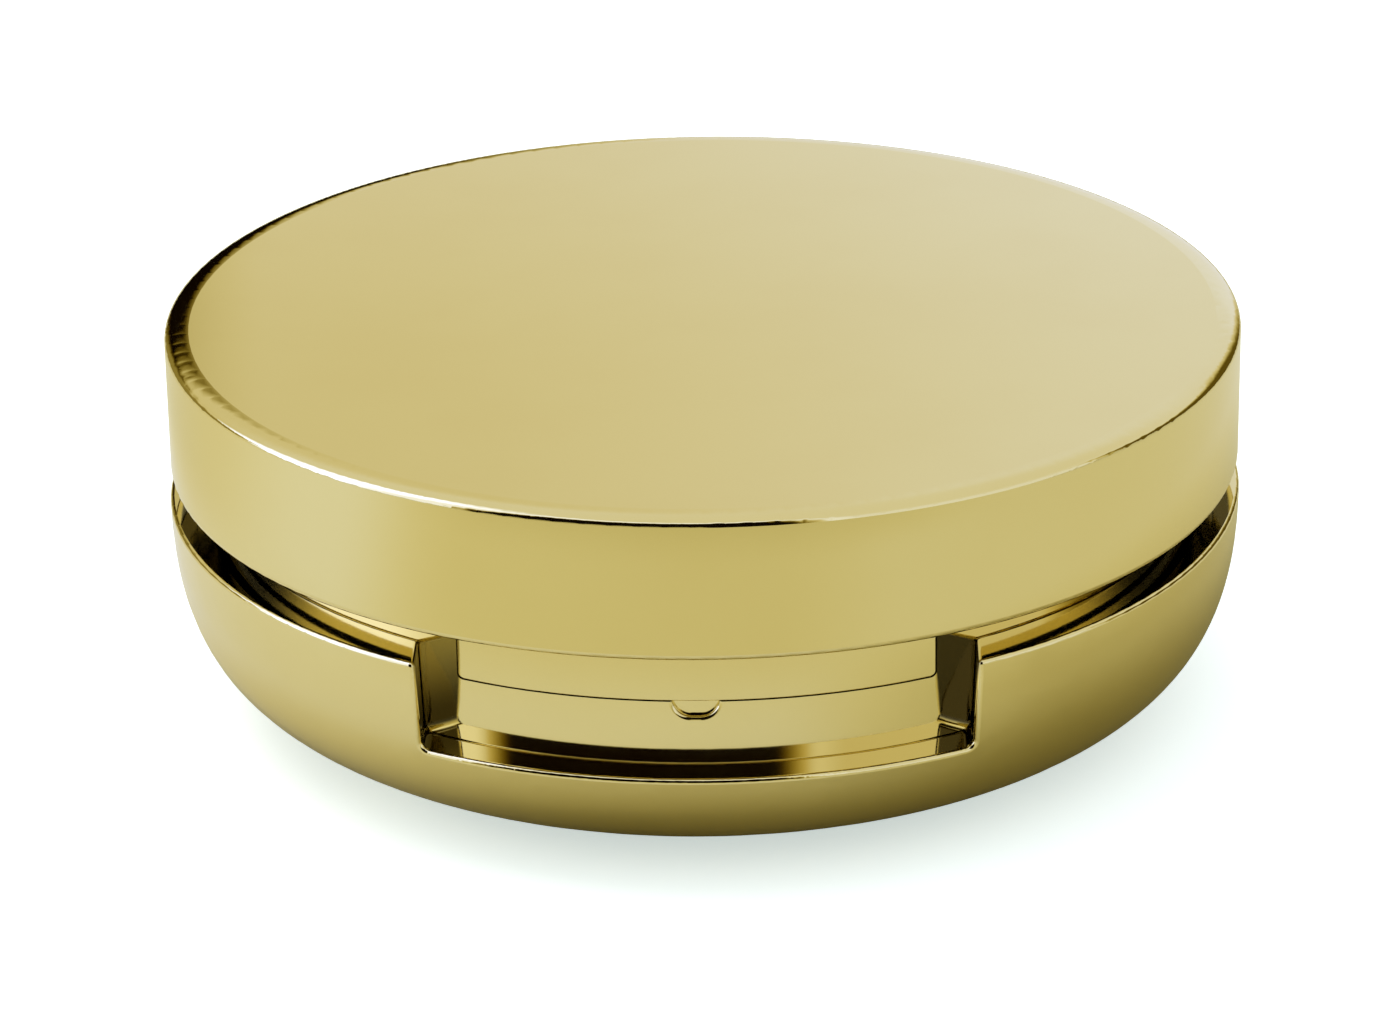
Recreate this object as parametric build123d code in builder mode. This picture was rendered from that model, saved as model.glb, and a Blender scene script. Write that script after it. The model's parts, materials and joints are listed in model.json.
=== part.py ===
from build123d import *
from math import radians, tan
import os

# A round powder compact, closed. Millimetres, +Z up. The origin is the centre of the foot's underside,
# the thumb notch faces -Y and the hinge is at +Y. Every piece is placed where it sits when the lid is shut.

# Outside
lid_radius = 37.5
total_height = 27.6
lid_bottom = 17.6  # lower edge of the lid's skirt
lid_wall = 1.6
lid_roof = 1.5
rim_inset = 1.7  # how far in from the side the lid's rim starts to turn down
rim_drop = 0.6
lid_edge = 0.45
bowl_radius = 37.65
land = 15.4  # flat top of the base shell, under the gap
foot_radius = 16.9
label_radius = 14.5
label_recess = 0.3
floor_thickness = 1.7
floor_flat_radius = 18.0  # the flat part of the shell's floor, inside
floor_reach = 10.0  # how far the inside curve runs flat out from it
heel_height = 4.6  # where the inside curve turns up to the core's ledge
foot_reach = 15.85  # how far the bowl's curve runs flat out from the foot
bowl_rise = 3.3  # how far down the bowl's curve stays upright
# Thumb notch in the base shell, and the latch tongue that hangs in it
notch_half = 18.12  # at the notch's floor
notch_draft = 2.4
notch_floor = 8.9
notch_corner = 0.6
notch_edge = 0.28
notch_inner_edge = 0.15
tongue_half = 15.72
tongue_bottom = 13.4
tongue_thickness = 0.7
tongue_corner = 0.4
tongue_root = 18.2  # above this height the tongue joins the lid liner's skirt
tongue_head_top = 21.0
tongue_gap = 0.05
tongue_edge = 0.12
scoop_half = 1.5  # the nail scoop under the tongue's edge
scoop_bottom = 12.3
scoop_corner = 1.2
scoop_floor_radius = 33.95
scoop_edge = 0.28

# Inner moulding of the base
core_radius = 34.4
core_fit = 0.05
core_wall = 1.8
core_seat = 7.4  # ledge in the shell that carries the core's outer wall
seat_width = 1.0
neck_top = 20.1
neck_inner = 32.4
tray_seat = 18.6
seat_web = 1.2
well_radius = 29.8
well_wall = 1.1
well_floor = 6.0
well_floor_thickness = 1.2
latch_recess_radius = 33.25

# Hinge
hinge_y = 36.2
hinge_z = 16.0
knuckle_radius = 1.8
pin_radius = 0.8
running_clearance = 0.04
liner_knuckle_half = 3.0
tray_knuckle = (3.3, 5.6)
ear = (5.9, 8.8)
hinge_cap_length = 0.6
hinge_notch_half = 9.1
hinge_notch_floor = 12.2
core_notch_floor = 13.3
core_notch_near = 31.5
neck_window_half = 11.0
lid_notch_top = 19.5

# Lid contents
liner_gap = 0.05
liner_inner = 34.75
liner_roof = 24.9
mirror_radius = 30.0
mirror_thickness = 1.6
mirror_bevel = 0.2
tape_thickness = 0.3
bezel_lip = 0.6
bezel_slope = 1.2
bezel_depth = 0.4
part_gap = 0.1  # play round the mirror and inside the bezel

# Tray contents
flange_radius = 31.6
flange_thickness = 1.1
pan_radius = 28.1
pan_depth = 3.6
pan_sheet = 0.4
tray_wall = 1.0
tray_bottom = 14.9
tray_edge = 0.25
push_hole_radius = 3.0  # the refill is pushed out through it
lift_tab_length = 9.0
lift_tab_width = 2.0
lift_tab_height = 0.8
magnet_radius = 14.0
magnet_thickness = 0.5
seal_width = 1.0
powder_below_rim = 0.7
powder_crown = 0.5

# Puff
felt_thickness = 0.5
puff_radius = 24.5
puff_centre_y = -3.8
puff_thickness = 6.2
puff_edge = 2.2
cover_thickness = 0.3
cover_inset = 2.5
ribbon_inset = 4.0
ribbon_width = 12.0
ribbon_thickness = 0.35

front_near = 25  # the depth, ahead of the axis, of everything that is cut or built from the front
front_far = 45
rear_near = 28  # where the slots for the hinge start, behind the axis
lid_inner = lid_radius - lid_wall
lid_ceiling = total_height - lid_roof


def turned(*corners):
    """Revolve a section, given as radius and height corners, round the compact's axis."""
    with BuildSketch(Plane.XZ) as section:
        with BuildLine():
            Polyline(*corners, close=True)
        make_face()
    revolve(section.sketch, Axis.Z)


def ring(inner, outer, bottom, top):
    """A flat ring, or a disc where inner is zero."""
    turned((inner, bottom), (outer, bottom), (outer, top), (inner, top))


def front_window(half_width, bottom, corner, mode, draft=0):
    """A window with rounded lower corners, cut from the front, whose sides lean outwards by the draft."""
    lean = total_height * tan(radians(draft))
    with BuildSketch(Plane.XZ.offset(front_near)) as outline:
        with BuildLine():
            Polyline(
                (-half_width, bottom),
                (half_width, bottom),
                (half_width + lean, bottom + total_height),
                (-half_width - lean, bottom + total_height),
                close=True,
            )
        make_face()
        fillet(outline.vertices().group_by(Axis.Y)[0], corner)
    extrude(outline.sketch, amount=front_far - front_near, mode=mode)


def on_cylinder(radius):
    """A test for edges that lie on the cylinder of that radius, ahead of the axis."""
    return lambda edge: all(
        abs(Vector(point.X, point.Y).length - radius) < 0.01 and point.Y < 0
        for point in (edge @ 0, edge @ 0.5, edge @ 1)
    )


def curved_plate(inner, outer, bottom, top, half_width, corner, edge=0.0):
    """A slice of a ring at the front, with rounded lower corners and softened outer edges."""
    with BuildPart() as plate:
        ring(inner, outer, bottom, top)
        front_window(half_width, bottom, corner, Mode.INTERSECT)
        if edge:
            rim = plate.edges().filter_by(on_cylinder(outer)).sort_by(Axis.Z)[:-1]
            fillet(rim, edge)
    return plate.part


def rear_slot(half_width, near, bottom, top, mode=Mode.SUBTRACT):
    """A box cut across the back, from near outwards."""
    with Locations((0, near, bottom)):
        Box(2 * half_width, lid_radius, top - bottom, align=(Align.CENTER, Align.MIN, Align.MIN), mode=mode)


def knuckle(start, end, web):
    """A hinge knuckle from start to end along X, with the web that joins it to its part."""
    with BuildSketch(Plane.YZ.offset(start)) as section:
        with Locations((hinge_y, hinge_z)):
            Circle(knuckle_radius)
        with BuildLine():
            Polyline(*web, close=True)
        make_face()
    extrude(section.sketch, amount=end - start)


def hinge_bore(radius):
    """A bore through everything on the hinge axis."""
    with BuildSketch(Plane.YZ) as section:
        with Locations((hinge_y, hinge_z)):
            Circle(radius)
    extrude(section.sketch, amount=ear[1], both=True, mode=Mode.SUBTRACT)


# Base shell: a bowl with a flat land, a bore for the core, a thumb notch in front and a hinge slot behind
shell_bore = core_radius + core_fit


def outer_mouth(edge):
    """True for the outer edges of the bowl's mouth and of the thumb notch, and the ends of the land."""
    middle = edge @ 0.5
    outside = Vector(middle.X, middle.Y).length > bowl_radius - 0.9
    land_end = abs(middle.Z - land) < 0.01 and edge.geom_type == GeomType.LINE
    return middle.Z > notch_floor - 0.1 and (outside or land_end)


def inner_mouth(edge):
    """True for the inner edges of the thumb notch."""
    return on_cylinder(shell_bore)(edge) and notch_floor - 0.1 < (edge @ 0.5).Z < land - 0.1


with BuildPart() as base_shell:
    with BuildSketch(Plane.XZ):
        with BuildLine():
            Line((0, label_recess), (label_radius, label_recess))
            Line((label_radius, label_recess), (label_radius, 0))
            Line((label_radius, 0), (foot_radius, 0))
            Bezier(
                (foot_radius, 0),
                (foot_radius + foot_reach, 0),
                (bowl_radius, bowl_rise),
                (bowl_radius, land),
            )
            Line((bowl_radius, land), (shell_bore, land))
            Line((shell_bore, land), (shell_bore, core_seat))
            Line((shell_bore, core_seat), (shell_bore - seat_width, core_seat))
            Bezier(
                (shell_bore - seat_width, core_seat),
                (shell_bore - 2 * seat_width, heel_height),
                (floor_flat_radius + floor_reach, floor_thickness),
                (floor_flat_radius, floor_thickness),
            )
            Line((floor_flat_radius, floor_thickness), (0, floor_thickness))
            Line((0, floor_thickness), (0, label_recess))
        make_face()
    revolve(axis=Axis.Z)
    front_window(notch_half, notch_floor, notch_corner, Mode.SUBTRACT, notch_draft)
    fillet(edges().filter_by(outer_mouth), notch_edge)
    fillet(edges().filter_by(inner_mouth), notch_inner_edge)
    rear_slot(hinge_notch_half, rear_near, hinge_notch_floor, total_height)

# Base core: the neck inside the gap, the seat of the tray, the puff well and the ears of the hinge
well_outer = well_radius + well_wall
wall_inner = core_radius - core_wall
floor_bottom = well_floor - well_floor_thickness
ear_web = [(32.7, 12.5), (32.7, 13.3), (34.4, 16), (38, 16), (37.2, 13), (36.6, 12.5)]


def in_scoop(edge):
    """True for the edges of the nail scoop, below the tongue's seat."""
    middle = edge @ 0.5
    return abs(middle.X) < scoop_half + 0.01 and middle.Z < tongue_bottom - tongue_gap - 0.01


latch_recess = curved_plate(
    latch_recess_radius,
    core_radius + 1,
    tongue_bottom - tongue_gap,
    neck_top + 1,
    tongue_half + tongue_gap,
    tongue_corner,
)
nail_scoop = curved_plate(
    scoop_floor_radius, core_radius + 1, scoop_bottom, neck_top, scoop_half, scoop_corner
)
with BuildPart() as base_core:
    turned(
        (0, floor_bottom),
        (well_outer, floor_bottom),
        (well_outer, tray_seat - seat_web),
        (wall_inner, tray_seat - seat_web),
        (wall_inner, core_seat),
        (core_radius, core_seat),
        (core_radius, neck_top),
        (neck_inner, neck_top),
        (neck_inner, tray_seat),
        (well_radius, tray_seat),
        (well_radius, well_floor),
        (0, well_floor),
    )
    add(latch_recess, mode=Mode.SUBTRACT)
    add(nail_scoop, mode=Mode.SUBTRACT)
    fillet(edges().filter_by(on_cylinder(core_radius)).filter_by(in_scoop), scoop_edge)
    rear_slot(neck_window_half, rear_near, land, total_height)
    rear_slot(hinge_notch_half, core_notch_near, core_notch_floor, total_height)
    knuckle(ear[0], ear[1], ear_web)
    knuckle(-ear[1], -ear[0], ear_web)
    hinge_bore(pin_radius)

# Ballast under the well's floor, stuck to it, and the felt in the well
ballast_radius = 22
ballast_thickness = 2.2
ballast_bevel = 0.3
ballast_top = floor_bottom - tape_thickness
with BuildPart() as ballast_tape:
    ring(0, ballast_radius - 2, floor_bottom - tape_thickness, floor_bottom)

with BuildPart() as ballast_disc:
    ring(0, ballast_radius, ballast_top - ballast_thickness, ballast_top)
    chamfer(edges().filter_by(GeomType.CIRCLE), ballast_bevel)

with BuildPart() as well_pad:
    ring(0, well_radius - 0.3, well_floor, well_floor + felt_thickness)

with BuildPart() as base_label:
    ring(0, label_radius - 0.2, label_recess - 0.2, label_recess)

# Hinge pin, closed in at both ends by a plug
pin_bevel = 0.15
cap_middle = ear[1] - hinge_cap_length / 2
with BuildPart() as hinge_pin:
    with Locations(Plane.YZ.location * Location((hinge_y, hinge_z, 0))):
        Cylinder(pin_radius, 2 * (ear[1] - hinge_cap_length))
    chamfer(edges().filter_by(GeomType.CIRCLE), pin_bevel)

with BuildPart() as hinge_caps:
    for side in (-1, 1):
        with Locations(Plane.YZ.location * Location((hinge_y, hinge_z, side * cap_middle))):
            Cylinder(pin_radius, hinge_cap_length)

# Lid shell: a shallow cap with a softly turned rim, slotted behind for the hinge
with BuildPart() as lid_shell:
    with BuildSketch(Plane.XZ):
        with BuildLine():
            Line((0, total_height), (lid_radius - rim_inset, total_height))
            Bezier(
                (lid_radius - rim_inset, total_height),
                (lid_radius, total_height),
                (lid_radius, total_height - rim_drop),
            )
            Line((lid_radius, total_height - rim_drop), (lid_radius, lid_bottom))
            Line((lid_radius, lid_bottom), (lid_inner, lid_bottom))
            Line((lid_inner, lid_bottom), (lid_inner, lid_ceiling))
            Line((lid_inner, lid_ceiling), (0, lid_ceiling))
            Line((0, lid_ceiling), (0, total_height))
        make_face()
    revolve(axis=Axis.Z)
    fillet(edges().filter_by(GeomType.CIRCLE).group_by(Axis.Z)[0].sort_by(SortBy.RADIUS)[-1], lid_edge)
    rear_slot(hinge_notch_half, rear_near, lid_bottom - 1, lid_notch_top)

# Lid liner: the skirt round the neck, the latch tongue and the middle hinge knuckle
liner_outer = lid_inner - liner_gap
liner_bottom = lid_bottom + 0.3
tongue_inner = core_radius - tongue_thickness
tongue = curved_plate(
    tongue_inner, core_radius, tongue_bottom, tongue_root + 0.1, tongue_half, tongue_corner, tongue_edge
)
tongue_head = curved_plate(tongue_inner, liner_inner + 0.5, tongue_root, tongue_head_top, tongue_half, 0.1)
liner_web = [(34.8, 21), (35.6, 21), (35.6, 19.5), (37.5, 17.2), (36.2, 16), (34.7, 16.6), (34.5, 18.5)]
with BuildPart() as lid_liner:
    turned(
        (liner_inner, liner_bottom),
        (liner_outer, liner_bottom),
        (liner_outer, lid_ceiling - liner_gap),
        (0, lid_ceiling - liner_gap),
        (0, liner_roof),
        (liner_inner, liner_roof),
    )
    rear_slot(hinge_notch_half, rear_near, liner_bottom - 1, lid_notch_top + 0.1)
    add(tongue)
    add(tongue_head)
    knuckle(-liner_knuckle_half, liner_knuckle_half, liner_web)
    hinge_bore(pin_radius + running_clearance)

# Mirror, its tape and the bezel round it
mirror_top = liner_roof - tape_thickness
mirror_bottom = mirror_top - mirror_thickness
with BuildPart() as mirror_tape:
    ring(0, mirror_radius - 1, mirror_top, liner_roof)

with BuildPart() as mirror:
    ring(0, mirror_radius, mirror_bottom, mirror_top)
    chamfer(edges().filter_by(GeomType.CIRCLE), mirror_bevel)

with BuildPart() as mirror_ring:
    turned(
        (mirror_radius + part_gap, liner_roof),
        (liner_inner - part_gap, liner_roof),
        (liner_inner - part_gap, mirror_bottom),
        (liner_inner - bezel_slope, mirror_bottom - bezel_depth),
        (mirror_radius - bezel_lip, mirror_bottom - bezel_depth),
        (mirror_radius - bezel_lip, mirror_bottom),
        (mirror_radius + part_gap, mirror_bottom),
    )

# Powder tray: a flange on the core's seat, the pan's recess, a lifting tab and two hinge arms
flange_top = neck_top
flange_bottom = flange_top - flange_thickness
recess_radius = pan_radius + 0.2
tray_floor = tray_bottom + tray_wall
tray_web = [
    (29.5, 20.1),
    (32.6, 20.1),
    (37.2, 17.5),
    (36.2, 16),
    (34.9, 14.8),
    (32.4, 17),
    (31.5, 19),
    (29.5, 19),
]
with BuildPart() as powder_tray:
    turned(
        (push_hole_radius, tray_bottom),
        (recess_radius + tray_wall, tray_bottom),
        (recess_radius + tray_wall, flange_bottom),
        (flange_radius, flange_bottom),
        (flange_radius, flange_top),
        (recess_radius, flange_top),
        (recess_radius, tray_floor),
        (push_hole_radius, tray_floor),
    )
    fillet(edges().filter_by(GeomType.CIRCLE).group_by(Axis.Z)[-1], tray_edge)
    with BuildSketch(Plane.XY.offset(flange_top)):
        with Locations((0, -(recess_radius + flange_radius) / 2)):
            SlotOverall(lift_tab_length, lift_tab_width)
    extrude(amount=lift_tab_height)
    knuckle(*tray_knuckle, tray_web)
    knuckle(-tray_knuckle[1], -tray_knuckle[0], tray_web)
    hinge_bore(pin_radius + running_clearance)

with BuildPart() as tray_seal:
    ring(flange_radius - 1.5 * seal_width, flange_radius - seal_width / 2, tray_seat + 0.05, flange_bottom)

# Refill: the pan on its magnet, and the pressed powder, slightly crowned
pan_bottom = tray_floor + magnet_thickness
with BuildPart() as pan_magnet:
    ring(push_hole_radius + 1, magnet_radius, tray_floor, pan_bottom)

with BuildPart() as powder_pan:
    turned(
        (0, pan_bottom),
        (pan_radius, pan_bottom),
        (pan_radius, pan_bottom + pan_depth),
        (pan_radius - pan_sheet, pan_bottom + pan_depth),
        (pan_radius - pan_sheet, pan_bottom + pan_sheet),
        (0, pan_bottom + pan_sheet),
    )

cake_radius = pan_radius - pan_sheet
cake_bottom = pan_bottom + pan_sheet
cake_edge = pan_bottom + pan_depth - powder_below_rim
cake_top = cake_edge + powder_crown
crown_radius = (cake_radius**2 + powder_crown**2) / (2 * powder_crown)
with BuildPart() as powder_cake:
    with BuildSketch(Plane.XZ):
        with BuildLine():
            Line((0, cake_bottom), (cake_radius, cake_bottom))
            Line((cake_radius, cake_bottom), (cake_radius, cake_edge))
            RadiusArc((cake_radius, cake_edge), (0, cake_top), -crown_radius)
            Line((0, cake_top), (0, cake_bottom))
        make_face()
    revolve(axis=Axis.Z)

# Puff: a velour pad with a satin back and a ribbon to hold it by, resting in the well
puff_bottom = well_floor + felt_thickness + 0.1
puff_top = puff_bottom + puff_thickness
puff_plane = Plane.XY.move(Location((0, puff_centre_y, puff_bottom)))
with BuildPart() as puff_pad:
    with BuildSketch(puff_plane):
        Circle(puff_radius)
    extrude(amount=puff_thickness)
    fillet(edges().filter_by(GeomType.CIRCLE), puff_edge)

with BuildPart() as puff_cover:
    with BuildSketch(Plane.XY.move(Location((0, puff_centre_y, puff_top)))):
        Circle(puff_radius - cover_inset)
    extrude(amount=cover_thickness)

with BuildPart() as puff_ribbon:
    with BuildSketch(Plane.XY.move(Location((0, puff_centre_y, puff_top + cover_thickness)))):
        Rectangle(2 * (puff_radius - ribbon_inset), ribbon_width)
    extrude(amount=ribbon_thickness)

pieces = {
    "base_shell": base_shell,
    "base_core": base_core,
    "ballast_tape": ballast_tape,
    "ballast_disc": ballast_disc,
    "well_pad": well_pad,
    "base_label": base_label,
    "hinge_pin": hinge_pin,
    "hinge_caps": hinge_caps,
    "lid_shell": lid_shell,
    "lid_liner": lid_liner,
    "mirror_tape": mirror_tape,
    "mirror": mirror,
    "mirror_ring": mirror_ring,
    "powder_tray": powder_tray,
    "tray_seal": tray_seal,
    "pan_magnet": pan_magnet,
    "powder_pan": powder_pan,
    "powder_cake": powder_cake,
    "puff_pad": puff_pad,
    "puff_cover": puff_cover,
    "puff_ribbon": puff_ribbon,
}

os.makedirs("parts", exist_ok=True)
for name, piece in pieces.items():
    piece.part.label = name
    export_step(piece.part, f"parts/{name}.step")
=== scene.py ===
import json
import math
import bmesh
import bpy
from mathutils import Matrix, Vector
from mathutils.bvhtree import BVHTree

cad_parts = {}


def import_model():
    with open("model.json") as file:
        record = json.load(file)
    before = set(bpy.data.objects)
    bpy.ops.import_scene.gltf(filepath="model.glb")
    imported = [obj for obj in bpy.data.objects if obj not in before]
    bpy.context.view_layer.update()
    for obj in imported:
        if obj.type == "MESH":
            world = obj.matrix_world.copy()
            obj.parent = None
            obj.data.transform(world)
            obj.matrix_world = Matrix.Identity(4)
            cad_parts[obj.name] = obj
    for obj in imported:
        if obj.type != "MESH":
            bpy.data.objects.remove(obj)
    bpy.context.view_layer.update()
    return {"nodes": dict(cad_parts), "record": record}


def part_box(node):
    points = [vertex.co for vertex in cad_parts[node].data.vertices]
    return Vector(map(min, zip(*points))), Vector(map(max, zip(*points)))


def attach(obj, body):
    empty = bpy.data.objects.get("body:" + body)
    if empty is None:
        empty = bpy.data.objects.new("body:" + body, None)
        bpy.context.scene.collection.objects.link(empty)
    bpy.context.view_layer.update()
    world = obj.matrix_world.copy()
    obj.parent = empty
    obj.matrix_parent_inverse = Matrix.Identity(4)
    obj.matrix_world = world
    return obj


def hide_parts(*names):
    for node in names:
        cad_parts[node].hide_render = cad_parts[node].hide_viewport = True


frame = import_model()
nodes = frame["nodes"]
MM = 0.001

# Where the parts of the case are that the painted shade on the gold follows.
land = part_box("base_shell")[1].z  # flat top of the base shell, under the gap
lid_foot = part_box("lid_shell")[0].z  # lower edge of the lid
notch_half = 18.12 * MM
notch_floor = 8.9 * MM
core_radius = 34.4 * MM

GOLD = (0.790, 0.680, 0.310)
SMUDGED_GOLD = (0.780, 0.665, 0.295)
PAINTED_SHADE_GOLD = (0.010, 0.006, 0.002)  # painted shade: near black where the notch walls, the gap under the lid and the neck lie in shade


# ---------------------------------------------------------------- node helpers
class Graph:
    """A short way to write a node tree: add gives a node, and the calls built on it give its outputs."""

    def __init__(self, tree):
        self.tree = tree

    def plug(self, socket, value):
        if isinstance(value, bpy.types.NodeSocket):
            self.tree.links.new(value, socket)
        elif socket.type == "RGBA":
            socket.default_value = (*value, 1)[:4]
        else:
            socket.default_value = value

    def add(self, kind, inputs=None, **settings):
        node = self.tree.nodes.new(kind)
        for name, value in settings.items():
            setattr(node, name, value)
        for name, value in (inputs or {}).items():
            self.plug(node.inputs[name], value)
        return node

    def math(self, operation, *values):
        node = self.add("ShaderNodeMath", operation=operation)
        for socket, value in zip(node.inputs, values):
            self.plug(socket, value)
        return node.outputs[0]

    def product(self, *values):
        total = values[0]
        for value in values[1:]:
            total = self.math("MULTIPLY", total, value)
        return total

    def total(self, *values):
        added = values[0]
        for value in values[1:]:
            added = self.math("ADD", added, value)
        return added

    def step(self, value, start, end, low=0.0, high=1.0):
        """A smooth step of value from start to end, going from low to high."""
        node = self.add("ShaderNodeMapRange", interpolation_type="SMOOTHSTEP")
        for socket, number in zip(node.inputs, (value, start, end, low, high)):
            self.plug(socket, number)
        return node.outputs[0]

    def mix(self, factor, a, b):
        """a where factor is 0 and b where it is 1: colours, or numbers if a is one."""
        number = isinstance(a, (int, float)) or getattr(a, "type", "") == "VALUE"
        node = self.add("ShaderNodeMix", data_type="FLOAT" if number else "RGBA")
        for socket, value in zip([s for s in node.inputs if s.enabled], (factor, a, b)):
            self.plug(socket, value)
        return [s for s in node.outputs if s.enabled][0]

    def place(self, stretch=(1, 1, 1), turn=(0, 0, 0)):
        """The object's own coordinates, stretched and turned."""
        place = self.add("ShaderNodeTexCoord").outputs["Object"]
        values = {"Vector": place, "Scale": stretch, "Rotation": turn}
        return self.add("ShaderNodeMapping", values).outputs[0]

    def split(self, vector):
        """The x, y and z of a vector."""
        return self.add("ShaderNodeSeparateXYZ", {"Vector": vector}).outputs

    def distance(self, x, y):
        """How far x, y is from the axis of the case."""
        return self.math("SQRT", self.total(self.product(x, x), self.product(y, y)))

    def noise(self, scale, detail=2.0, stretch=(1, 1, 1)):
        values = {"Vector": self.place(stretch), "Scale": scale, "Detail": detail}
        return self.add("ShaderNodeTexNoise", values).outputs["Fac"]

    def waves(self, ribs, turn, distortion=0.0):
        """Parallel ribs over the XY plane, so many per metre. A unit of scale is 20 radians."""
        scale = ribs * 2 * math.pi / 20
        values = {"Vector": self.place(turn=(0, 0, turn)), "Scale": scale, "Distortion": distortion}
        return self.add("ShaderNodeTexWave", values, bands_direction="X").outputs["Fac"]

    def bump(self, height, depth):
        return self.add("ShaderNodeBump", {"Height": height, "Distance": depth, "Strength": 1.0}).outputs[0]


def material(name):
    """A new material, its node graph and its Principled shader."""
    made = bpy.data.materials.new(name)
    made.use_nodes = True
    return made, Graph(made.node_tree), made.node_tree.nodes["Principled BSDF"]


def finish_shader(graph, shader, values):
    for name, value in values.items():
        graph.plug(shader.inputs[name], value)


# ---------------------------------------------------------------- materials
def camera_side(graph, x, y):
    """Degrees round the compact from the camera side, positive to the right."""
    return graph.math("DEGREES", graph.math("ARCTAN2", x, graph.math("MULTIPLY", y, -1.0)))


def band(graph, value, low, high, soft):
    """1 between low and high, with a soft edge outside them."""
    return graph.product(graph.step(value, low - soft, low), graph.step(value, high + soft, high))


def painted_shade_notch_sides(graph):
    """Painted shade on the base shell: near-black colour on the notch's side walls, where they lie in shade,
    less so high on the left.
    """
    x, y, z = graph.split(graph.place())
    out = graph.distance(x, y)
    lean = 0.14  # the bowl's outer face leans out as it rises, and so does the limit just inside it
    inside_face = graph.math("MULTIPLY_ADD", z, -lean, out)
    walls = graph.product(
        band(graph, graph.math("ABSOLUTE", x), notch_half - 0.22 * MM, notch_half + 0.68 * MM, 0.05 * MM),
        graph.step(inside_face, 35.45 * MM, 35.25 * MM),
        graph.step(z, notch_floor + 0.1 * MM, notch_floor + 0.4 * MM),
        graph.step(z, land - 0.01 * MM, land - 0.2 * MM),
        graph.step(y, -20 * MM, -25 * MM),
    )
    on_the_left = graph.step(x, 1 * MM, -1 * MM)
    less_painted_shade = graph.product(on_the_left, graph.step(z, 10 * MM, 16 * MM, 0.0, 0.45))
    walls = graph.product(walls, graph.math("SUBTRACT", 0.94, less_painted_shade))
    return graph.math("MAXIMUM", walls, painted_shade_under_lid(graph, x, y, z, out))


def painted_shade_under_lid(graph, x, y, z, out):
    """Painted shade on the lid's lower face from beside the notch round to the back: near-black colour where
    the gap under the lid lies in shade.
    """
    round_to = graph.math("ABSOLUTE", camera_side(graph, x, y))
    return graph.product(
        band(graph, z, lid_foot - 0.1 * MM, lid_foot + 0.35 * MM, 0.1 * MM),
        graph.step(out, 37.1 * MM, 36.9 * MM),
        graph.step(round_to, 50, 66, 0.0, 0.97),
    )


def painted_shade_neck_sides(graph):
    """Painted shade on the core: near-black colour low on the neck, from beside the notch round to the
    hinge, where it lies in shade under the lid.
    """
    x, y, z = graph.split(graph.place())
    out = graph.distance(x, y)
    round_to = graph.math("ABSOLUTE", camera_side(graph, x, y))
    low = graph.product(
        band(graph, out, core_radius - 0.1 * MM, core_radius + 0.1 * MM, 0.1 * MM),
        graph.step(z, lid_foot + 1 * MM, lid_foot),
        graph.step(round_to, 44, 60, 0.0, 0.97),
    )
    return graph.math("MAXIMUM", low, painted_shade_under_lid(graph, x, y, z, out))


def gold(name, gloss, waviness, thin):
    """Vacuum-metallised plastic under clear lacquer: slow waves, faint smudges and hair scratches. Its last
    argument is a mask of painted shade, where the colour turns near black.
    """
    made, graph, shader = material(name)
    smudge = graph.step(graph.noise(90, 3), 0.35, 0.75)
    scratch = graph.step(graph.noise(420, 2, (1, 14, 14)), 0.66, 0.74)
    rough = graph.math("MULTIPLY_ADD", smudge, 0.35 * gloss, gloss)
    rough = graph.math("MULTIPLY_ADD", scratch, 0.4 * gloss, rough)
    finish_shader(graph, shader, {
        # painted shade: near-black colour wherever the mask is set
        "Base Color": graph.mix(thin(graph), graph.mix(smudge, GOLD, SMUDGED_GOLD), PAINTED_SHADE_GOLD),
        "Metallic": 1.0, "Roughness": rough, "Normal": graph.bump(graph.noise(260, 1), waviness),
        "Coat Weight": 0.1, "Coat Roughness": 0.03, "Coat IOR": 1.5,
    })
    return made


def metal(name, colour, roughness, grain, stretch):
    """Bare metal with a fine grain, stretched along the way it was worked."""
    made, graph, shader = material(name)
    lines = graph.noise(grain, 4, stretch)
    finish_shader(graph, shader, {
        "Base Color": graph.mix(lines, colour, tuple(0.86 * c for c in colour)), "Metallic": 1.0,
        "Roughness": graph.mix(lines, 0.7 * roughness, 1.3 * roughness), "Normal": graph.bump(lines, 2e-6),
    })
    return made


def mirror_glass():
    made, graph, shader = material("mirror_glass")
    smear = graph.step(graph.noise(70, 4), 0.5, 0.8)
    finish_shader(graph, shader, {
        "Base Color": graph.mix(smear, (0.90, 0.92, 0.92), (0.86, 0.88, 0.88)), "Metallic": 1.0,
        "Roughness": graph.mix(smear, 0.004, 0.03), "Coat Weight": 0.5, "Coat Roughness": 0.0,
    })
    return made


def soft_plastic(name, colour, roughness, grain, depth, thin=0.0):
    """Rubber, foam or silicone: mottled, with a fine skin."""
    made, graph, shader = material(name)
    mottle = graph.noise(grain, 4)
    finish_shader(graph, shader, {
        "Base Color": graph.mix(mottle, colour, tuple(0.82 * c for c in colour)),
        "Roughness": graph.mix(mottle, roughness - 0.08, roughness + 0.08),
        "Normal": graph.bump(mottle, depth),
        "Subsurface Weight": thin, "Subsurface Radius": (0.002, 0.0018, 0.0014), "Subsurface Scale": 1.0,
    })
    return made


def foil():
    made, graph, shader = material("label_foil")
    grain = graph.noise(2600, 3)
    finish_shader(graph, shader, {
        "Base Color": graph.mix(grain, (0.80, 0.76, 0.60), (0.72, 0.67, 0.50)), "Metallic": 0.9,
        "Roughness": graph.mix(grain, 0.28, 0.42), "Normal": graph.bump(grain, 4e-6),
    })
    return made


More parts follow.
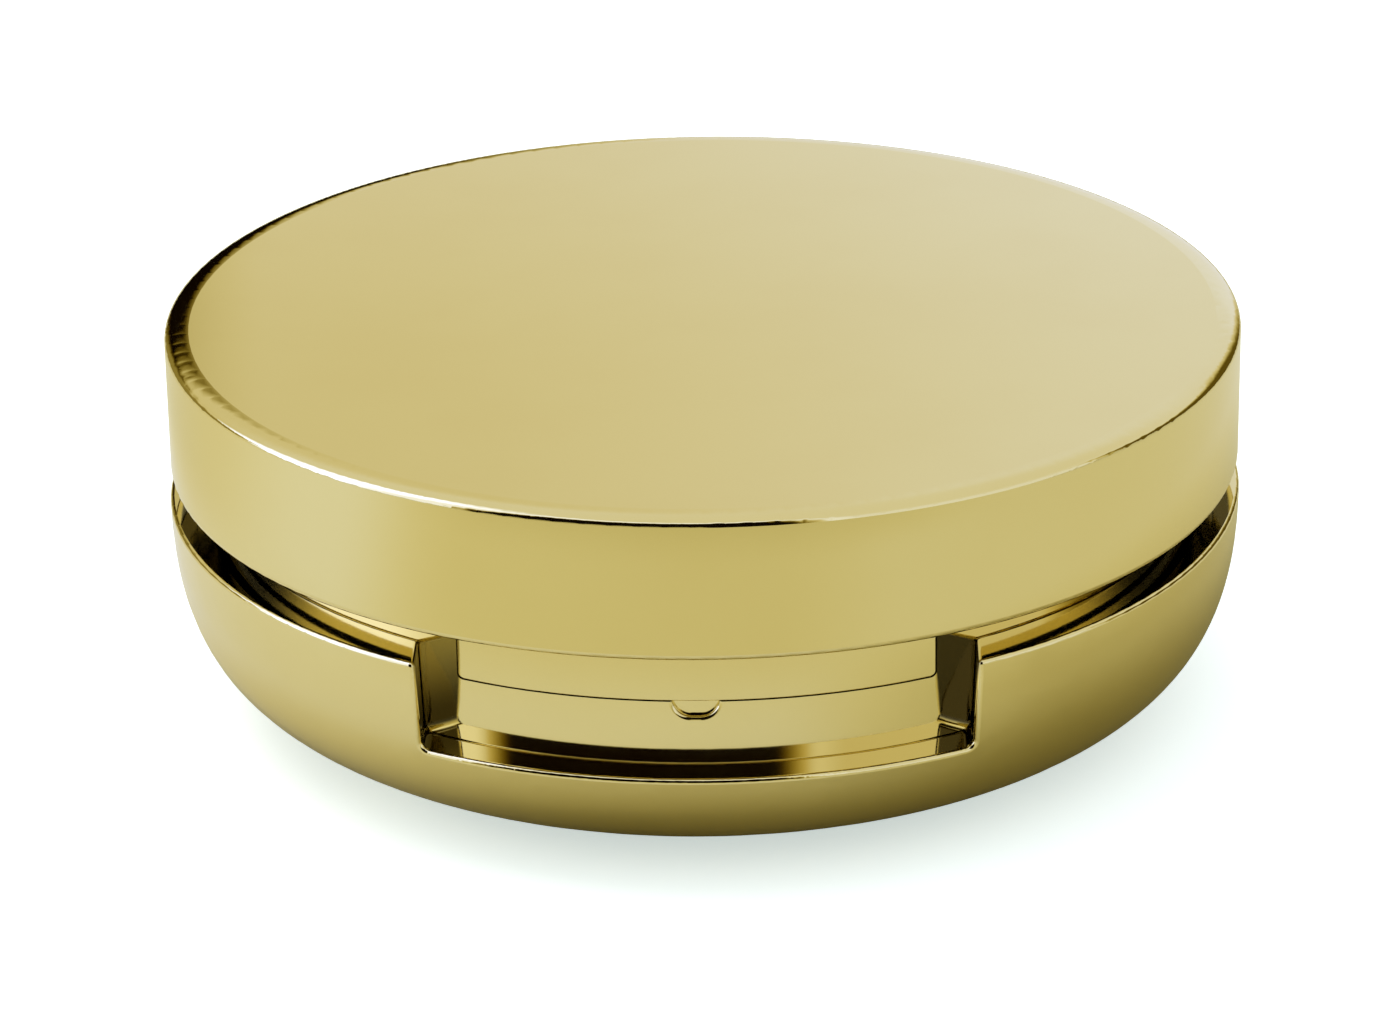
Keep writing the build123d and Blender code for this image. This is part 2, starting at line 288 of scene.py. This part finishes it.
def powder():
    """Pressed powder: matte, faintly mottled, with the linen weave of the pressing cloth."""
    made, graph, shader = material("pressed_powder")
    weave = graph.math("ADD", graph.waves(750, math.pi / 4), graph.waves(750, -math.pi / 4))
    grains = graph.noise(5200, 3)
    height = graph.math("MULTIPLY_ADD", grains, 0.7, weave)
    tone = graph.mix(graph.noise(120, 3), (0.74, 0.49, 0.34), (0.80, 0.56, 0.41))
    finish_shader(graph, shader, {
        "Base Color": graph.mix(graph.step(grains, 0.35, 0.7), tone, (0.86, 0.64, 0.50)), "Roughness": 0.85,
        "Normal": graph.bump(height, 2.2e-5), "Sheen Weight": 0.15, "Sheen Roughness": 0.5,
    })
    return made


def velour():
    """Short-pile velour: fine fibres that catch the light at the edges, brushed in soft patches."""
    made, graph, shader = material("puff_velour")
    fibres = graph.noise(4200, 4)
    brushed = graph.step(graph.noise(160, 3), 0.35, 0.65)
    light = graph.mix(brushed, (0.86, 0.74, 0.63), (0.78, 0.65, 0.54))
    finish_shader(graph, shader, {
        "Base Color": graph.mix(fibres, light, (0.90, 0.80, 0.70)), "Roughness": 0.95,
        "Normal": graph.bump(fibres, 6e-5), "Sheen Weight": 0.6, "Sheen Roughness": 0.4,
    })
    return made


def satin():
    """Woven satin: long floats one way and fine picks across them."""
    made, graph, shader = material("puff_satin")
    floats = graph.waves(1800, 0, 0.6)
    picks = graph.waves(2600, math.pi / 2, 0.4)
    height = graph.math("MULTIPLY_ADD", floats, 0.6, picks)
    shade = graph.noise(220, 3, (1, 6, 1))
    finish_shader(graph, shader, {
        "Base Color": graph.mix(shade, (0.84, 0.71, 0.57), (0.77, 0.63, 0.50)),
        "Roughness": graph.mix(floats, 0.34, 0.46), "Normal": graph.bump(height, 1.6e-5),
        "Sheen Weight": 0.25, "Anisotropic": 0.5,
    })
    return made


def felt():
    made, graph, shader = material("felt")
    fibres = graph.math("ADD", graph.noise(2200, 5, (1, 3, 1)), graph.noise(2600, 5, (3, 1, 1)))
    raised = graph.step(fibres, 0.8, 1.25)
    finish_shader(graph, shader, {
        "Base Color": graph.mix(raised, (0.022, 0.019, 0.017), (0.075, 0.066, 0.058)),
        "Roughness": 0.95, "Normal": graph.bump(fibres, 5e-5), "Sheen Weight": 0.3,
    })
    return made


materials = {
    # the last argument of gold paints shade into the colour where these parts lie in shade
    "gold_shell": gold("metallised_gold", 0.045, 0.3e-6, painted_shade_notch_sides),
    "gold_inner": gold("metallised_gold_inner", 0.055, 0.4e-6, painted_shade_neck_sides),
    "steel": metal("zinc_plated_steel", (0.62, 0.62, 0.63), 0.3, 900, (1, 12, 1)),
    "pan_aluminium": metal("pressed_aluminium", (0.86, 0.86, 0.85), 0.22, 1500, (1, 9, 1)),
    "mirror_glass": mirror_glass(),
    "foam_tape": soft_plastic("foam_tape", (0.86, 0.86, 0.83), 0.85, 2500, 3e-5),
    "soft_seal": soft_plastic("soft_seal", (0.84, 0.82, 0.76), 0.42, 500, 5e-6, 0.4),
    "magnet_sheet": soft_plastic("magnet_sheet", (0.07, 0.055, 0.05), 0.6, 1800, 1e-5),
    "label_foil": foil(),
    "pressed_powder": powder(),
    "puff_velour": velour(),
    "puff_satin": satin(),
    "felt": felt(),
}


def dress(obj, slot):
    obj.data.materials.clear()
    obj.data.materials.append(materials[slot])


for piece in frame["record"]["subparts"]:
    dress(nodes[piece["node"]], piece["material_slot"])


# ---------------------------------------------------------------- meshes
def new_piece(name, mesh, slot, body, replaced=()):
    """Put a bmesh into the scene as a smooth-shaded piece that rides on a body."""
    data = bpy.data.meshes.new(name)
    bmesh.ops.recalc_face_normals(mesh, faces=mesh.faces)
    mesh.to_mesh(data)
    mesh.free()
    for face in data.polygons:
        face.use_smooth = True
    made = bpy.data.objects.new(name, data)
    bpy.context.scene.collection.objects.link(made)
    dress(made, slot)
    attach(made, body)
    if replaced:
        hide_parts(*replaced)
    return made


def circle(turns):
    """Angles evenly spaced round a circle."""
    return [2 * math.pi * turn / turns for turn in range(turns)]


def skin_rings(mesh, middle, rings):
    """Faces from a middle point out through rings of points, each ring closed."""
    turns = len(rings[0])
    for turn in range(turns):
        after = (turn + 1) % turns
        mesh.faces.new((middle, rings[0][turn], rings[0][after]))
        for inner, outer in zip(rings, rings[1:]):
            mesh.faces.new((inner[turn], outer[turn], outer[after], inner[after]))


def round_solid(radii, turns, height, bottom):
    """A closed solid round the case's axis: a side, a floor and a top of the given height over each x, y."""
    mesh = bmesh.new()
    middle = mesh.verts.new((0, 0, height(0, 0)))
    rings = []
    for radius in radii:
        places = [(radius * math.cos(angle), radius * math.sin(angle)) for angle in circle(turns)]
        rings.append([mesh.verts.new((x, y, height(x, y))) for x, y in places])
    foot = [mesh.verts.new((v.co.x, v.co.y, bottom)) for v in rings[-1]]
    skin_rings(mesh, middle, rings + [foot])
    skin_rings(mesh, mesh.verts.new((0, 0, bottom)), [foot])
    return mesh


def powder_surface():
    """The pressed cake: slightly crowned, with a quilted field inside a plain border and a softened edge."""
    low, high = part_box("powder_cake")
    radius = (high.x - low.x) / 2
    crown = 0.5 * MM
    edge_width, edge_drop = 0.7 * MM, 0.35 * MM
    field = radius - 2.6 * MM
    field_fade = 0.5 * MM
    groove_width = 0.3 * MM
    groove_radius = field + 0.35 * MM
    relief, pitch, sharpness = 0.13 * MM, 4.4 * MM, 6
    steps, turns = 150, 400

    def height(x, y):
        r = math.hypot(x, y)
        base = high.z - crown * (r / radius) ** 2
        edge = max(0.0, (r - (radius - edge_width)) / edge_width)
        inside = min(1.0, max(0.0, (field - r) / field_fade))
        groove = math.exp(-(((r - groove_radius) / groove_width) ** 2))
        a, b = (math.sin(math.pi * (x + s * y) / pitch) for s in (1, -1))
        quilt = 1 - min(1.0, sharpness * min(abs(a), abs(b))) ** 0.5
        return base - edge_drop * edge**2 - relief * (inside * quilt + groove)

    radii = [radius * (i + 1) / steps for i in range(steps)]
    mesh = round_solid(radii, turns, height, low.z)
    new_piece("powder_surface", mesh, "pressed_powder", "tray", ["powder_cake"])


def felt_disc():
    """The felt in the well: its face lies in slow waves and is worn down at the cut edge."""
    low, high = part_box("well_pad")
    radius = (high.x - low.x) / 2
    wave_depth, edge_drop = 0.03 * MM, 0.22 * MM
    edge_start = 0.985  # as a share of the radius
    steps, turns, crowding = 60, 180, 1.6  # the rings crowd towards the edge

    def height(x, y):
        r = math.hypot(x, y) / radius
        wave = math.sin(210 * x + 1) * math.sin(260 * y) + math.sin(520 * x - 340 * y)
        edge = max(0.0, (r - edge_start) / (1 - edge_start))
        return high.z - wave_depth * (1 + 0.5 * wave) - edge_drop * edge**2

    radii = [radius * (1 - (1 - (i + 1) / steps) ** crowding) for i in range(steps)]
    mesh = round_solid(radii, turns, height, low.z)
    piece = new_piece("felt_disc", mesh, "felt", "base", ["well_pad"])


# ---------------------------------------------------------------- the puff
PUFF_SCALE = 10  # the pad is simulated ten times larger, where the cloth solver is steady
SATIN = 0.16 * MM  # thickness of the cloth


def pad_profile(radius, half):
    """Half of the pad's section, from beside its middle out: a flat crown that rounds over to the seam."""
    steps, squareness = 24, 5
    shares = [(i + 1) / steps for i in range(steps)]
    return [(radius * share, half * (1 - share**squareness) ** 0.5) for share in shares]


def pad_blank(radius, half):
    """The pad before it is inflated, PUFF_SCALE times its size, and the indices of its seam's points."""
    mesh = bmesh.new()
    angles = circle(120)
    profile = pad_profile(radius, half)
    halves = []
    seam = None
    for side in (1, -1):
        middle = mesh.verts.new((0, 0, side * half))
        free = profile[:-1] if seam else profile
        rings = [
            [mesh.verts.new((r * math.cos(angle), r * math.sin(angle), side * z)) for angle in angles]
            for r, z in free
        ]
        if seam:
            rings.append(seam)
        seam = rings[-1]
        halves.append((middle, rings))
    for middle, rings in halves:
        skin_rings(mesh, middle, rings)
    bmesh.ops.recalc_face_normals(mesh, faces=mesh.faces)
    mesh.verts.index_update()
    seam_points = sorted(v.index for v in seam)
    bmesh.ops.scale(mesh, vec=(PUFF_SCALE,) * 3, verts=mesh.verts)
    data = bpy.data.meshes.new("puff_blank")
    mesh.to_mesh(data)
    mesh.free()
    blank = bpy.data.objects.new("puff_blank", data)
    bpy.context.scene.collection.objects.link(blank)
    return blank, seam_points


def inflate(blank, seam_points, cap):
    """Blow the pad up by cloth simulation with its seam held, and move no point further than cap."""
    scene = bpy.context.scene
    frames = 20
    start = [v.co.copy() for v in blank.data.vertices]
    group = blank.vertex_groups.new(name="seam")
    group.add(seam_points, 1.0, "REPLACE")
    cloth = blank.modifiers.new("cloth", "CLOTH")
    settings = cloth.settings
    settings.quality = 8
    settings.mass = 0.2
    settings.use_pressure = True
    settings.uniform_pressure_force = 4
    settings.tension_stiffness = 12
    settings.compression_stiffness = 12
    settings.bending_stiffness = 2
    settings.effector_weights.gravity = 0
    settings.vertex_group_mass = "seam"
    cloth.point_cache.frame_start = 1
    cloth.point_cache.frame_end = frames
    for number in range(1, frames + 1):
        scene.frame_set(number)
    shape = blank.evaluated_get(bpy.context.evaluated_depsgraph_get())
    moved = [v.co.copy() for v in shape.data.vertices]
    blank.modifiers.clear()
    for vertex, before, after in zip(blank.data.vertices, start, moved):
        step = after - before
        if step.length > cap:
            step *= cap / step.length
        vertex.co = before + step
    scene.frame_set(1)


def puff_body(centre, radius, half):
    """The velour pad, puckered along its seam. Gives its surface back, to lay the satin on."""
    seam_inset, free_rise = 0.25 * MM, 0.75 * MM
    blank, seam_points = pad_blank(radius - seam_inset, half - free_rise)
    inflate(blank, seam_points, 0.7 * MM * PUFF_SCALE)
    shape = bmesh.new()
    shape.from_mesh(blank.data)
    bpy.data.objects.remove(blank)
    bmesh.ops.scale(shape, vec=(1 / PUFF_SCALE,) * 3, verts=shape.verts)
    roll_radius, roll_width = radius - 0.6 * MM, 1.6 * MM
    pucker, pucker_count = 0.05, 46
    for vertex in shape.verts:
        r = math.hypot(vertex.co.x, vertex.co.y)
        angle = math.atan2(vertex.co.y, vertex.co.x)
        near_seam = math.exp(-(((r - roll_radius) / roll_width) ** 2))
        wave = math.sin(pucker_count * angle + 2 * math.sin(5 * angle))
        vertex.co.z *= 1 + pucker * near_seam * wave
        vertex.co.z = min(half, max(-half, vertex.co.z))
    bmesh.ops.translate(shape, vec=centre, verts=shape.verts)
    surface = BVHTree.FromBMesh(shape)
    pad = new_piece("puff_body", shape, "puff_velour", "puff", ["puff_pad"])
    smooth = pad.modifiers.new("smooth", "SUBSURF")
    smooth.levels = smooth.render_levels = 1
    return surface


def satin_sheet(name, rows, replaced):
    """A thin sheet through rows of points, thickened downwards."""
    mesh = bmesh.new()
    grid = [[mesh.verts.new(point) for point in row] for row in rows]
    for row, following in zip(grid, grid[1:]):
        for a, b, c, d in zip(row, row[1:], following[1:], following):
            mesh.faces.new((a, b, c, d))
    piece = new_piece(name, mesh, "puff_satin", "puff", replaced)
    thick = piece.modifiers.new("cloth", "SOLIDIFY")
    thick.thickness = SATIN
    thick.offset = -1
    return piece


def puff_back(centre, back_radius, top):
    """The satin sewn to the pad inside its seam, lightly puckered at its edge. Its middle has a pinhole."""
    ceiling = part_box("puff_cover")[1].z
    rise = 1.4 * SATIN
    pinhole = 1e-7
    pucker_depth, pucker_count = 0.05 * MM, 60
    steps, turns = 40, 120

    def point(r, angle):
        x, y = r * math.cos(angle), r * math.sin(angle)
        share = math.hypot(x, y) / back_radius
        pucker = pucker_depth * share**6 * math.sin(pucker_count * math.atan2(y, x))
        height = top(centre.x + x, centre.y + y) + rise + pucker
        return centre.x + x, centre.y + y, min(ceiling, height)

    angles = circle(turns) + [2 * math.pi]
    radii = [back_radius * (i / steps) ** 0.8 + pinhole for i in range(steps + 1)]
    rows = [[point(r, angle) for angle in angles] for r in radii]
    back = satin_sheet("puff_satin_back", rows, ["puff_cover"])


def puff_band(centre, top):
    """The finger band across the back: flat at its sewn ends, a little slack and narrower in the middle."""
    low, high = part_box("puff_ribbon")
    reach, half_width = (high.x - low.x) / 2, (high.y - low.y) / 2
    lift, end_lift = 2.9 * SATIN, 1.2 * SATIN
    slack, fold, waist = 0.30 * MM, 0.05 * MM, 0.08
    across_steps, along_steps = 24, 60

    def point(along, across):
        """A point of the band, where along and across run from -1 to 1."""
        x = centre.x + reach * along
        y = centre.y + half_width * across * (1 - waist * (1 - along**4))
        loose = slack * (1 - along**2) * (1 - 0.25 * across**2)
        folded = fold * math.sin(9 * across + 2 * along) * abs(along) ** 3
        sewn = along**10
        return x, y, top(x, y) + (lift + loose + folded) * (1 - sewn) + end_lift * sewn

    rows = [
        [point(2 * i / along_steps - 1, 2 * j / across_steps - 1) for i in range(along_steps + 1)]
        for j in range(across_steps + 1)
    ]
    ribbon = satin_sheet("puff_band", rows, ["puff_ribbon"])


def puff():
    """A velour pad with a rolled seam, a satin back sewn inside it and a satin band across the back."""
    low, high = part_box("puff_pad")
    centre = (low + high) / 2
    radius, half = (high.x - low.x) / 2, (high.z - low.z) / 2
    surface = puff_body(centre, radius, half)

    def top(x, y):
        """Height of the pad's top under a point."""
        hit = surface.ray_cast(Vector((x, y, high.z + 10 * MM)), Vector((0, 0, -1)))[0]
        return hit.z if hit else centre.z

    puff_back(centre, radius - 3.2 * MM, top)
    puff_band(centre, top)


# ---------------------------------------------------------------- studio
def graded(graph, level, light=1.0):
    """A colour that is neutral when bright and turns to warm tan when dark, under that much light."""
    seen = graph.product(level, light)
    green_tint = graph.step(seen, 0.72, 0.90, 0.978, 1.076)
    blue_tint = graph.step(seen, 0.72, 0.90, 0.935, 1.543)
    green = graph.product(graph.math("POWER", seen, 1.158), green_tint, 1 / light)
    blue = graph.product(graph.math("POWER", seen, 2.16), blue_tint, 1 / light)
    parts = {"Red": level, "Green": green, "Blue": blue}
    return graph.add("ShaderNodeCombineColor", parts).outputs[0]


def floor_painted_light(graph):
    """Painted light and shade on the floor, seen only where the gold reflects it: how bright the gold sees
    the floor, with a painted contact shadow dark under the bowl, pale in a ring round it, and further out
    palest on the left and darkest in front. Distances from the axis are in metres, directions in degrees."""
    x, y, _ = graph.split(graph.place())
    azimuth, away = camera_side(graph, x, y), graph.distance(x, y)
    far = graph.total(
        graph.step(azimuth, 10, 35, 0.665, 0.70),
        graph.step(azimuth, -38, -66, 0, 0.09),
        graph.step(azimuth, -70, -125, 0, -0.115),
        graph.step(azimuth, 115, 175, 0, -0.06),
    )
    ahead = graph.step(graph.math("ABSOLUTE", azimuth), 60, 30)
    shade = graph.product(ahead, graph.step(away, 0.092, 0.115, 0, 0.25))
    far = graph.product(far, graph.math("SUBTRACT", 1.0, shade))
    right = graph.product(graph.step(azimuth, 10, 60), graph.step(azimuth, 175, 115))
    painted_contact_shadow = graph.total(
        graph.step(azimuth, -50, -5, 0.62, 0.37),
        graph.step(azimuth, 115, 175, 0, 0.25),
        graph.product(right, -0.03),
    )
    ring = graph.mix(right, 0.73, 0.53)
    ring_start, ring_end = graph.mix(right, 0.030, 0.034), graph.mix(right, 0.047, 0.056)
    near = graph.mix(graph.step(away, ring_start, ring_end), painted_contact_shadow, ring)
    return graph.mix(graph.step(away, 0.056, 0.078), near, far)


def floor():
    """A large plain pale sheet; where the gold reflects it, its colour is graded with painted light and
    shade.
    """
    sheet = bmesh.new()
    bmesh.ops.create_grid(sheet, x_segments=1, y_segments=1, size=1.5)
    data = bpy.data.meshes.new("floor")
    sheet.to_mesh(data)
    sheet.free()
    made = bpy.data.objects.new("floor", data)
    bpy.context.scene.collection.objects.link(made)
    skin, graph, shader = material("pale_floor")
    reflected = graph.add("ShaderNodeLightPath").outputs["Is Glossy Ray"]
    white = graph.mix(graph.noise(500, 3), (0.90, 0.90, 0.90), (0.92, 0.92, 0.92))
    finish_shader(graph, shader, {
        # for reflected rays the colour is painted light and shade, with a painted contact shadow under the
        # bowl
        "Base Color": graph.mix(reflected, white, graded(graph, floor_painted_light(graph), 1.09)),
        "Roughness": 0.8, "Specular IOR Level": 0.1,
        "Emission Color": (0.84, 0.96, 0.96), "Emission Strength": graph.mix(reflected, 0.56, 0.0),
    })
    data.materials.append(skin)


def surroundings_level(graph):
    """How bright the gold sees the surroundings: a backdrop that is paler on the right, a bright box on the
    left, a bright stretch above the camera, and dark screens on the camera's side and low down elsewhere."""
    x, y, z = graph.split(graph.add("ShaderNodeTexCoord").outputs["Generated"])
    azimuth = camera_side(graph, x, y)
    elevation = graph.math("DEGREES", graph.math("ARCSINE", z))

    def panel(left, right, top):
        """A panel with nothing above its top. Each edge fades in from the first angle to the second."""
        return graph.product(
            graph.step(azimuth, *left), graph.step(azimuth, *right), graph.step(elevation, *top))

    backdrop = graph.total(
        graph.step(x, -0.11, 0.10, 0.775, 0.875),
        graph.step(elevation, 18, 22, 0.02, -0.03),
    )
    level = graph.mix(graph.step(elevation, 28, 45), backdrop, 0.82)
    box = panel((-130, -114), (-47, -58), (74, 60))
    above_camera = panel((-80, -62), (34, 20), (76, 68))
    dark_front = panel((-55, -45), (28, 17), (64, 56))
    corner = graph.product(
        graph.step(x, -0.02, -0.12), graph.step(elevation, 15, 8), graph.step(y, 0.3, 0.6))
    beside = graph.product(
        graph.step(x, -0.10, -0.16), graph.step(azimuth, -135, -150), graph.step(elevation, 28, 20))
    low_left = panel((-160, -150), (-98, -112), (24, 16))
    low_right = panel((84, 100), (165, 150), (30, 22))
    for shape, brightness in (
        (box, 1.5), (above_camera, 1.15), (dark_front, 0.004), (corner, 0.004), (beside, 0.004),
        (low_left, 0.3), (low_right, 0.12),
    ):
        level = graph.mix(shape, level, brightness)
    return level


def world():
    """Plain soft light, graded where the gold reflects it."""
    made = bpy.data.worlds.new("studio")
    made.use_nodes = True
    bpy.context.scene.world = made
    graph = Graph(made.node_tree)
    reflected = graph.add("ShaderNodeLightPath").outputs["Is Glossy Ray"]
    back = made.node_tree.nodes["Background"]
    colour = graph.mix(reflected, (0.80, 0.84, 0.88), graded(graph, surroundings_level(graph)))
    graph.plug(back.inputs["Color"], colour)
    back.inputs["Strength"].default_value = 1.0


def key_light():
    """One large soft light above, on the left and behind, kept out of the reflections."""
    lamp = bpy.data.lights.new("key", "AREA")
    lamp.size = 0.4
    lamp.energy = 0.9
    lamp.color = (1.0, 0.97, 0.92)
    made = bpy.data.objects.new("key", lamp)
    bpy.context.scene.collection.objects.link(made)
    made.location = (-0.15, 0.08, 0.42)
    made.rotation_euler = (-made.location).to_track_quat("-Z", "Y").to_euler()
    made.visible_glossy = False


def camera():
    """A long lens 22 degrees above the floor, a little to the right of the notch."""
    elevation, turn, roll = math.radians(22.233), math.radians(1.3), math.radians(0.835)
    distance = 0.38557
    pivot_height = 0.01804  # the camera is placed from this point of the case's axis
    aim_height = 0.01232
    aim_left = 0.0005
    outward = Vector((math.sin(turn), -math.cos(turn), math.tan(elevation))).normalized()
    right = Vector((math.cos(turn), math.sin(turn), 0))
    place = Vector((0, 0, pivot_height)) + distance * outward
    aim = Vector((0, 0, aim_height)) - aim_left * right
    lens = bpy.data.cameras.new("camera")
    lens.sensor_width = 36
    lens.lens = 140.93
    lens.clip_start = 0.01
    made = bpy.data.objects.new("camera", lens)
    bpy.context.scene.collection.objects.link(made)
    facing = (aim - place).to_track_quat("-Z", "Y").to_matrix().to_4x4()
    made.matrix_world = Matrix.Translation(place) @ facing @ Matrix.Rotation(-roll, 4, "Z")
    bpy.context.scene.camera = made


bpy.context.scene.view_settings.view_transform = "Standard"
camera()
world()
floor()
key_light()
powder_surface()
felt_disc()
puff()
